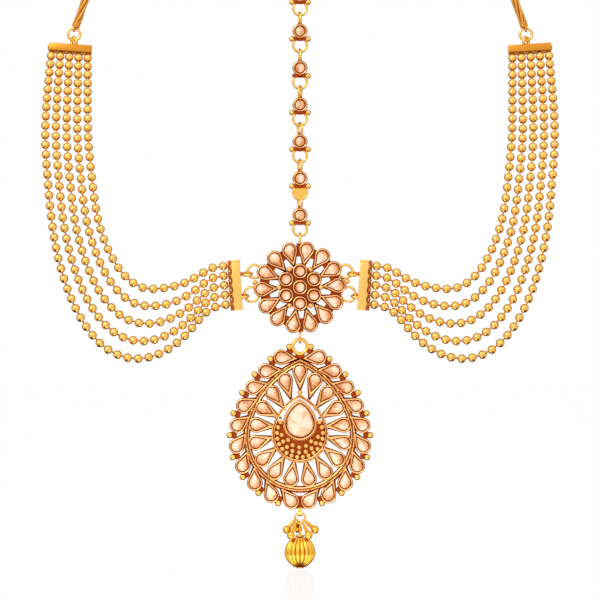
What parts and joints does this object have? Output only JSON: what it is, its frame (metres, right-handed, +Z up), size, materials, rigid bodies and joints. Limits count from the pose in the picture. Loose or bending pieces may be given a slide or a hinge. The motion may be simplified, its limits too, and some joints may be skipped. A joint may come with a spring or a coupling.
{
  "type": "maang tikka with side ball chains",
  "caption": "Gold maang tikka: hooked chain of stone-set links, rosette, pear-shaped stone pendant with a ribbed bead, and side strands of ball chain ending in corded hooks.",
  "frame": {"origin": "inside top of the centre hair hook's bend, where the jewel hangs", "axes": "+X to the wearer's left, +Y backwards towards the head (the front faces -Y), +Z up"},
  "size_m": [0.148, 0.0298, 0.1944],
  "materials": {
    "gold_metal": "antique rose gold plate, dark in the recesses",
    "bright_gold_metal": "satin yellow gold plate",
    "pale_stone": "cloudy peach faceted glass",
    "gold_thread": "twisted metallic thread"
  },
  "bodies": {
    "headpiece": {"centre_hook": "gold_metal", "centre_link_1": "gold_metal", "centre_link_2": "gold_metal", "centre_link_3": "gold_metal", "centre_link_4": "gold_metal", "centre_link_5": "gold_metal", "centre_link_6": "gold_metal", "centre_link_7": "gold_metal", "rosette_frame": "gold_metal", "centre_stone_1": "pale_stone", "centre_stone_2": "pale_stone", "centre_stone_3": "pale_stone", "centre_stone_4": "pale_stone", "centre_stone_5": "pale_stone", "centre_stone_6": "pale_stone", "centre_stone_7": "pale_stone", "rosette_petal_stones": "pale_stone", "rosette_round_stones": "pale_stone", "inner_bar_left": "bright_gold_metal", "outer_bar_left": "bright_gold_metal", "cord_ring_left": "gold_metal", "ball_chain_1_left": "bright_gold_metal", "ball_chain_2_left": "bright_gold_metal", "ball_chain_3_left": "bright_gold_metal", "ball_chain_4_left": "bright_gold_metal", "ball_chain_5_left": "bright_gold_metal", "inner_bar_right": "bright_gold_metal", "outer_bar_right": "bright_gold_metal", "cord_ring_right": "gold_metal", "ball_chain_1_right": "bright_gold_metal", "ball_chain_2_right": "bright_gold_metal", "ball_chain_3_right": "bright_gold_metal", "ball_chain_4_right": "bright_gold_metal", "ball_chain_5_right": "bright_gold_metal", "cord_binding_left": "gold_thread", "side_cord_left": "gold_thread", "side_hook_left": "gold_metal", "cord_binding_right": "gold_thread", "side_cord_right": "gold_thread", "side_hook_right": "gold_metal"},
    "pendant": {"pendant_frame": "gold_metal", "pendant_centre_stone": "pale_stone", "pendant_inner_stones": "pale_stone", "pendant_outer_stones": "pale_stone", "drop_ring": "gold_metal", "drop_dangler_1": "gold_metal", "drop_dangler_2": "gold_metal", "drop_dangler_3": "gold_metal", "drop_dangler_4": "gold_metal", "drop_dangler_5": "gold_metal", "melon_bead": "gold_metal", "bead_collar": "gold_metal", "bead_pin": "gold_metal"}
  },
  "joints": [
    {"name": "pendant_swing", "type": "hinge", "parent": "headpiece", "child": "pendant", "pos_m": [0, 0, -0.11519], "axis": [1, 0, 0], "range_deg": [-60, 60]}
  ]
}
